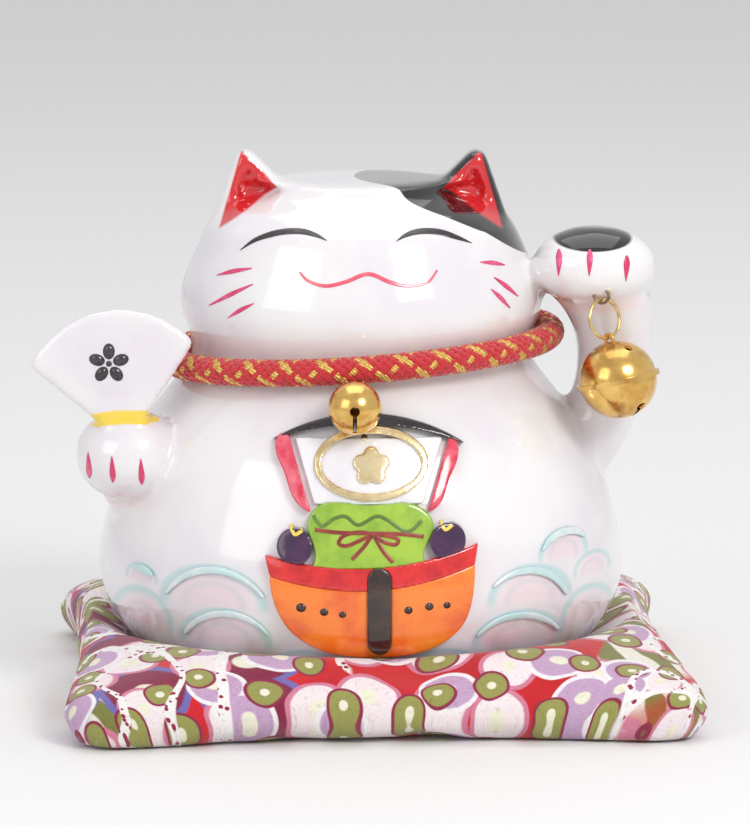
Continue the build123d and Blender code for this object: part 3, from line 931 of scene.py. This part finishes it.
# ----------------------------------------------------------------------------------------------- the cord
@dataclass
class BraidedCollar:
    """A braid of eight strands each way round an oval that rolls a little higher on +X. Millimetres."""

    radius: float = 3.75
    end_x: float = 9.2
    end_r: float = 42.0
    side_y: float = 9.96
    long_r: float = 55.56
    height: float = 93.6
    roll: float = 4.0
    turns: int = 15
    strands: int = 8
    strand_r: float = 0.86
    sway: float = 0.3
    steps_per_turn: int = 32
    sides: int = 6
    flat_wide: float = 1.12
    flat_high: float = 0.72
    gold: tuple[int, ...] = (1, 5)
    gold_share: float = 1.08

    def route(self) -> tuple[list[tuple[Vector, Vector]], float]:
        """The oval's stations as place and outward direction, and its length."""
        corner = math.atan2(self.side_y, self.end_x)
        arcs = [
            ((self.end_x, 0.0), self.end_r, -corner, corner),
            ((0.0, -self.side_y), self.long_r, corner, math.pi - corner),
            ((-self.end_x, 0.0), self.end_r, math.pi - corner, math.pi + corner),
            ((0.0, self.side_y), self.long_r, math.pi + corner, 2 * math.pi - corner),
        ]
        total = sum(radius * (end - start) for _, radius, start, end in arcs)
        count = self.turns * self.steps_per_turn
        made = []
        for index in range(count):
            left = total * index / count
            for (x, y), radius, start, end in arcs:
                span = radius * (end - start)
                if left <= span:
                    angle = start + left / radius
                    out = Vector((math.cos(angle), math.sin(angle), 0.0))
                    made.append((Vector((x, y, 0.0)) + out * radius, out))
                    break
                left -= span
        return made, total

    def tilted(self, place: Vector) -> Vector:
        """A local point in the world, in metres."""
        roll = math.radians(self.roll)
        x = place.x * math.cos(roll) - place.z * math.sin(roll)
        z = place.x * math.sin(roll) + place.z * math.cos(roll)
        return Vector((x, place.y, z + self.height)) * MM

    def strand(
        self, bm: bmesh.types.BMesh, route: list[tuple[Vector, Vector]], index: int, way: int
    ) -> None:
        """Adds one closed strand to the mesh.

        Args:
            bm: The mesh.
            route: The oval's stations.
            index: Which strand of its way.
            way: 1 or -1, the way it winds.
        """
        count = len(route)
        size = self.strand_r * (self.gold_share if index in self.gold else 2.0 - self.gold_share)
        core = self.radius - self.strand_r
        centres = []
        for step, (place, out) in enumerate(route):
            share = self.turns * step / count
            angle = 2 * math.pi * (way * share + index / self.strands)
            over = way * self.sway * math.cos(16 * math.pi * share)
            reach = core + over
            centres.append((place + (out * math.cos(angle) + Vector((0, 0, math.sin(angle)))) * reach, place))
        ring = bmesh.ops.create_circle(bm, segments=self.sides, radius=1.0)["verts"]
        first = list(ring)
        rings = [first]
        edges = [edge for edge in bm.edges if edge.verts[0] in set(first) and edge.verts[1] in set(first)]
        for _ in range(count - 1):
            made = bmesh.ops.extrude_edge_only(bm, edges=edges)["geom"]
            fresh = {item for item in made if isinstance(item, bmesh.types.BMVert)}
            matches = born_from(fresh)
            rings.append([matches[vert] for vert in rings[-1]])
            edges = [e for e in made if isinstance(e, bmesh.types.BMEdge) and set(e.verts) <= fresh]
        for step, row in enumerate(rings):
            centre, axis = centres[step]
            ahead = centres[(step + 1) % count][0]
            behind = centres[step - 1][0]
            along = (ahead - behind).normalized()
            up = (centre - axis).normalized()
            up = (up - along * up.dot(along)).normalized()
            side = along.cross(up)
            for corner, vert in enumerate(row):
                turn = 2 * math.pi * corner / self.sides
                flat = side * math.cos(turn) * size * self.flat_wide
                offset = flat + up * math.sin(turn) * self.strand_r * self.flat_high
                vert.co = self.tilted(centre + offset)
        loops = [edge for row in (rings[0], rings[-1]) for edge in self.ring_edges(row)]
        bmesh.ops.bridge_loops(bm, edges=loops)

    @staticmethod
    def ring_edges(row: list) -> list:
        """The edges round one ring of verts."""
        wanted = set(row)
        found = {edge for vert in row for edge in vert.link_edges if set(edge.verts) <= wanted}
        return list(found)

    def yarn(self, name: str, colour: Colour, shade: Colour, metallic: float) -> bpy.types.Material:
        """Makes twisted yarn, with fine diagonal filaments over the strand.

        Args:
            name: The material's name.
            colour: The filaments' colour.
            shade: The colour between them.
            metallic: 0 for silk, near 1 for gilt.

        Returns:
            The material.
        """
        graph = Graph(name)
        place = graph.place()
        x, y, z = graph.axes(place)
        twist = ((x + y) * 5200.0 + z * 7400.0).math("SINE")
        fine = graph.noise(place, 2600.0, 3.0)
        colour_out = graph.mix(colour, shade, (twist * 0.3 + fine).step(0.3, 0.9))
        graph.set(Base_Color=colour_out, Roughness=fine * 0.25 + (0.5 - 0.3 * metallic), Metallic=metallic)
        graph.set(Sheen_Weight=0.0 if metallic else 0.4, Normal=graph.bump(twist * 0.5 + fine, 0.00012))
        return graph.material

    def build(self) -> None:
        """Makes the red and the gold yarn."""
        route, total = self.route()
        gilt = self.yarn("gold_yarn", (0.86, 0.56, 0.18), (0.55, 0.28, 0.06), 0.85)
        red = self.yarn("red_braid", (0.66, 0.010, 0.020), (0.40, 0.004, 0.010), 0.0)
        pieces = {"collar_braid_red": (red, False), "collar_braid_gold": (gilt, True)}
        for name, (material, is_gold) in pieces.items():
            bm = bmesh.new()
            for way in (1, -1):
                for index in range(self.strands):
                    if (index in self.gold) == is_gold:
                        self.strand(bm, route, index, way)
            bmesh.ops.recalc_face_normals(bm, faces=bm.faces)
            mesh = bpy.data.meshes.new(name)
            bm.to_mesh(mesh)
            bm.free()
            piece = linked(name, mesh, material)
            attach(piece, Body.CAT.value)
            if not is_gold:
                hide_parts("collar_cord")
            log.info("%s, %.0f mm round, %d faces", name, total, len(mesh.polygons))


# --------------------------------------------------------------------------------------------- the cushion
@dataclass
class Cushion:
    """The stuffed print cushion, swollen by a cloth simulation and pressed by the cat. Metres."""

    voxel: float = 0.0042
    pressure: float = 4.0
    frames: int = 20
    cap: float = 0.0045
    corner_pull: float = 0.0055
    flatten: float = 0.94
    floor: float = 0.0004
    gap: float = 0.0004
    shrink: float = 0.0006
    top: float = 0.021
    half: float = 0.0845

    def fabric(self) -> bpy.types.Material:
        """A crepe cotton with a dense flower print and painted shade in the crepe's hollows, laid out in the
        piece's own UV map in metres.
        """
        graph = Graph("print_cotton")
        uv = graph.node("ShaderNodeUVMap", {"uv_map": "print"}, {})
        warp = graph.noise(uv, 38.0, 2.0)
        warp_colour = graph.node("ShaderNodeTexNoise", {}, {"Vector": uv, "Scale": 30.0, "Detail": 2.0}, 1)
        nudge = {0: warp_colour, 1: (0.012, 0.012, 0.0), 2: uv}
        nudged = graph.node("ShaderNodeVectorMath", {"operation": "MULTIPLY_ADD"}, nudge)
        red = graph.mix((0.62, 0.012, 0.018), (0.48, 0.008, 0.014), warp.step(0.3, 0.7))
        u, v, _ = graph.axes(nudged)
        u0, v0, _ = graph.axes(uv)
        bands = ((u * 0.8 + v * 0.6) * 520.0 + warp * 6.0).math("SINE")
        fold = graph.noise(nudged, 20.0, 1.0)
        left = u.step(0.004, 0.002)
        edge = u.step(0.068, 0.070)
        busy = left.math("MAXIMUM", edge)
        swirl = fold.step(0.47, 0.52) * busy
        folds = graph.mix((0.20, 0.20, 0.05), (0.78, 0.76, 0.66), bands.step(-0.2, 0.2))
        colour = graph.mix(red, folds, swirl)
        flowers = [
            (30.0, 0.42, (0.22, 0.012, 0.05), (0.16, 0.14, 0.42), 7.0, 0.0, self.sides),
            (50.0, 0.40, (0.84, 0.74, 0.76), (0.62, 0.20, 0.30), 5.0, 3.1, self.front),
            (40.0, 0.30, (0.52, 0.34, 0.52), (0.84, 0.80, 0.82), 5.0, 7.7, self.middle),
            (62.0, 0.30, (0.30, 0.30, 0.08), (0.26, 0.02, 0.06), 6.0, 5.3, self.sides),
        ]
        for scale, size, petal, rim, count, shift, region in flowers:
            mask, edge_mask, heart, at = self.flower(graph, nudged, scale, size, count, shift)
            region = region(*at)
            colour = graph.mix(colour, rim, mask * region)
            colour = graph.mix(colour, petal, edge_mask * region)
            colour = graph.mix(colour, (0.80, 0.78, 0.62), heart * region)
        lace = graph.node("ShaderNodeTexVoronoi", {"feature": "F1"}, {"Vector": uv, "Scale": 420.0})
        loops = graph.noise(nudged, 34.0, 0.0)
        ribbon = abs(loops - 0.5).step(0.026, 0.018) * busy
        white = graph.mix((0.84, 0.82, 0.80), (0.30, 0.02, 0.06), lace.step(0.34, 0.26))
        colour = graph.mix(colour, white, ribbon)
        weave_u = (u0 * 6800.0).math("SINE")
        weave_v = (v0 * 6800.0).math("SINE")
        crepe = graph.noise(uv, 620.0, 4.0, 0.65)
        height = weave_u * weave_v * 0.25 + crepe * 0.9
        # Painted shade: the cloth is darkened where the crepe noise is low, which are the hollows of its
        # bump.
        colour = graph.mix(colour, (0.10, 0.01, 0.02), crepe.step(0.50, 0.22) * 0.30)
        graph.set(Base_Color=colour, Roughness=crepe * 0.18 + 0.62, Sheen_Weight=0.25)
        graph.set(Specular_IOR_Level=0.25)
        graph.set(Normal=graph.bump(height, 0.00035, 0.8))
        return graph.material

    @staticmethod
    def sides(u: Val, v: Val) -> Val:
        """Where the dense flowers lie: the whole left, and the far right."""
        return u.step(0.0001, -0.0001).math("MAXIMUM", u.step(0.0659, 0.0661))

    @staticmethod
    def front(u: Val, v: Val) -> Val:
        """Where the pale blossoms lie: along the front, short of the plain patch."""
        return v.step(-0.0509, -0.0511) * u.step(0.0521, 0.0519)

    @staticmethod
    def middle(u: Val, v: Val) -> Val:
        """Where the mauve blossoms lie: left and middle."""
        return u.step(0.0121, 0.0119)

    @staticmethod
    def flower(graph: Graph, uv: Val, scale: float, size: float, petals: float, shift: float) -> tuple:
        """One kind of flower, scattered over the cloth.

        Args:
            graph: The material.
            uv: Where on the cloth.
            scale: Flowers a metre.
            size: A flower's radius as a share of its cell.
            petals: How many petals.
            shift: Moves the scatter.

        Returns:
            Masks of the whole flower, of its petals inside the rim, and of its heart, and its middle's place.
        """
        spot = graph.node("ShaderNodeVectorMath", {"operation": "ADD"}, {0: uv, 1: (shift, shift * 0.7, 0.0)})
        look = {"Vector": spot, "Scale": scale, "Randomness": 0.75}
        cells = graph.raw("ShaderNodeTexVoronoi", {"voronoi_dimensions": "2D"}, look)
        scaled = graph.node("ShaderNodeVectorMath", {"operation": "SCALE"}, {0: spot, "Scale": scale})
        centre = Val(graph, cells.outputs["Position"])
        away = graph.node("ShaderNodeVectorMath", {"operation": "SUBTRACT"}, {0: scaled, 1: centre})
        a, b, _ = graph.axes(away)
        angle = b.math("ARCTAN2", a)
        reach = Val(graph, cells.outputs["Distance"])
        scallop = abs((angle * (petals / 2)).math("SINE")) * (0.28 * size) + 0.78 * size
        inside = reach / scallop
        at_u, at_v, _ = graph.axes(centre)
        at = (at_u / scale - shift, at_v / scale - shift * 0.7)
        return inside.step(1.04, 0.98), inside.step(0.88, 0.80), inside.step(0.30, 0.22), at

    def swell(self, piece: bpy.types.Object) -> None:
        """Blows the filling up in its cover, with a cap on how far a point moves."""
        rest = [vert.co.copy() for vert in piece.data.vertices]
        cloth = piece.modifiers.new("swell", "CLOTH")
        cloth.settings.use_pressure = True
        cloth.settings.uniform_pressure_force = self.pressure
        cloth.settings.effector_weights.gravity = 0.0
        cloth.settings.quality = 5
        cloth.collision_settings.use_collision = False
        scene = bpy.context.scene
        for frame in range(1, self.frames + 1):
            scene.frame_set(frame)
        settled(piece)
        scene.frame_set(1)
        for vert, start in zip(piece.data.vertices, rest):
            move = vert.co - start
            if move.length > self.cap:
                vert.co = start + move.normalized() * self.cap

    def tug(self, piece: bpy.types.Object) -> None:
        """Draws the corners out to points and settles the filling a little."""
        for vert in piece.data.vertices:
            across = min(abs(vert.co.x) / self.half, 1.0)
            along = min(abs(vert.co.y) / self.half, 1.0)
            pull = self.corner_pull * (across * along) ** 4
            vert.co.x += math.copysign(pull + 0.0022 * across**3, vert.co.x)
            vert.co.y += math.copysign(pull * 0.4, vert.co.y)
            vert.co.z *= self.flatten

    def press(self, piece: bpy.types.Object, casting: BVHTree) -> None:
        """Keeps the cover above the table and clear of the cat."""
        for vert in piece.data.vertices:
            spot, normal, _, distance = casting.find_nearest(vert.co)
            if spot is not None and distance < 0.012:
                depth = (vert.co - spot).dot(normal)
                if depth < self.gap:
                    vert.co = spot + normal * self.gap
            vert.co.z = max(vert.co.z, self.floor)

    def unroll(self, mesh: bpy.types.Mesh) -> None:
        """Writes the print's UV map in metres, carried on down the rolled sides."""
        layer = mesh.uv_layers.new(name="print")
        for loop in mesh.loops:
            place = mesh.vertices[loop.vertex_index].co
            drop = self.top - place.z
            u = place.x + drop * (place.x / self.half) ** 3
            v = place.y + drop * (place.y / self.half) ** 3
            layer.data[loop.index].uv = (u, v)

    def build(self, nodes: dict[str, bpy.types.Object], casting: BVHTree) -> None:
        """Makes the cushion from its filling's node."""
        mesh = copies([nodes["cushion_filling"]], [-self.shrink])
        piece = softened("cushion_pad", mesh, self.voxel, 3, self.fabric())
        self.swell(piece)
        self.tug(piece)
        self.press(piece, casting)
        finer = piece.modifiers.new("finer", "SUBSURF")
        finer.levels = 1
        finer.render_levels = 1
        settled(piece)
        self.press(piece, casting)
        self.unroll(piece.data)
        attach(piece, Body.CUSHION.value)
        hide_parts("cushion_cover", "cushion_filling")
        log.info("cushion with %d faces", len(piece.data.polygons))


@dataclass
class Metalwork:
    """The bells, rings, eye, ferrule and stopper: CAD nodes in better finishes."""

    finishes: dict[str, str] = field(
        default_factory=lambda: {
            "paw_bell_upper": "brass",
            "paw_bell_lower": "brass",
            "paw_bell_lug": "brass",
            "collar_bell_upper": "brass",
            "collar_bell_lower": "brass",
            "collar_bell_lug": "brass",
            "paw_ring": "ring",
            "collar_ring": "ring",
            "collar_ferrule": "brass",
            "paw_eye": "wire",
            "base_stopper": "rubber",
        }
    )

    def dress(self, nodes: dict[str, bpy.types.Object], looks: dict[str, bpy.types.Material]) -> None:
        """Gives each node its finish; pellets are steel."""
        for name, node in nodes.items():
            look = self.finishes.get(name) or ("steel" if "pellet" in name else None)
            if look:
                node.data.materials.clear()
                node.data.materials.append(looks[look])
                log.info("%s in %s", name, look)


@dataclass
class Studio:
    """The camera, the pale floor and the soft light. Metres."""

    camera_at: tuple[float, float, float] = (0.0038, -1.4794, 0.3223)
    pitch: float = 80.5
    lens: float = 242.4
    floor_half: float = 3.0
    floor_colour: Colour = (0.80, 0.80, 0.79)

    def camera(self) -> None:
        """Adds the camera."""
        data = bpy.data.cameras.new("camera")
        data.lens = self.lens
        camera = bpy.data.objects.new("camera", data)
        camera.location = self.camera_at
        camera.rotation_euler = (math.radians(self.pitch), 0.0, 0.0)
        bpy.context.scene.collection.objects.link(camera)
        bpy.context.scene.camera = camera

    def floor(self) -> None:
        """Adds the floor."""
        bm = bmesh.new()
        bmesh.ops.create_grid(bm, x_segments=4, y_segments=4, size=self.floor_half)
        mesh = bpy.data.meshes.new("floor")
        bm.to_mesh(mesh)
        bm.free()
        graph = Graph("floor_paper")
        grain = graph.noise(graph.place(), 300.0, 3.0)
        tone = graph.mix(self.floor_colour, (0.78, 0.78, 0.775), grain)
        graph.set(Base_Color=tone, Roughness=grain * 0.1 + 0.8, Specular_IOR_Level=0.1)
        linked("floor", mesh, graph.material)

    def lamp(self, name: str, at: Sequence[float], size: float, watts: float, tint: Colour) -> None:
        """Adds one large area light that faces the cat."""
        data = bpy.data.lights.new(name, "AREA")
        data.shape = "SQUARE"
        data.size = size
        data.energy = watts
        data.color = tint
        lamp = bpy.data.objects.new(name, data)
        lamp.location = at
        lamp.rotation_euler = (Vector((0.0, 0.0, 0.08)) - Vector(at)).to_track_quat("-Z", "Y").to_euler()
        bpy.context.scene.collection.objects.link(lamp)

    def light(self) -> None:
        """Adds the lamps and the pale surroundings."""
        self.lamp("key", (0.65, -0.95, 0.85), 0.42, 8.0, (1.0, 0.99, 0.97))
        self.lamp("fill", (-1.0, -1.0, 0.7), 0.8, 3.4, (1.0, 0.97, 0.97))
        self.lamp("top", (0.0, 0.3, 1.4), 1.2, 5.0, (1.0, 1.0, 1.0))
        world = bpy.data.worlds.new("surroundings")
        world.use_nodes = True
        backdrop = world.node_tree.nodes["Background"]
        backdrop.inputs["Color"].default_value = (0.93, 0.93, 0.95, 1.0)
        backdrop.inputs["Strength"].default_value = 0.77
        bpy.context.scene.world = world
        bpy.context.scene.view_settings.view_transform = "Standard"

    def build(self) -> None:
        """Sets the studio up."""
        self.camera()
        self.floor()
        self.light()


def main() -> None:
    """Builds every piece around the frame."""
    logging.basicConfig(level=logging.INFO)
    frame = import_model()
    nodes = frame["nodes"]
    looks = Palette().all()
    Studio().build()
    Metalwork().dress(nodes, looks)
    casting = Ceramic().build(nodes)
    sprigs = Relief().build(nodes, looks)
    bare = Skin([casting])
    bare.gather()
    skin = Skin([casting, *sprigs])
    skin.gather()
    Enamel().build(Painter(skin), looks)
    BraidedCollar().build()
    Cushion().build(nodes, bare.tree)


if __name__ == "__main__":
    main()
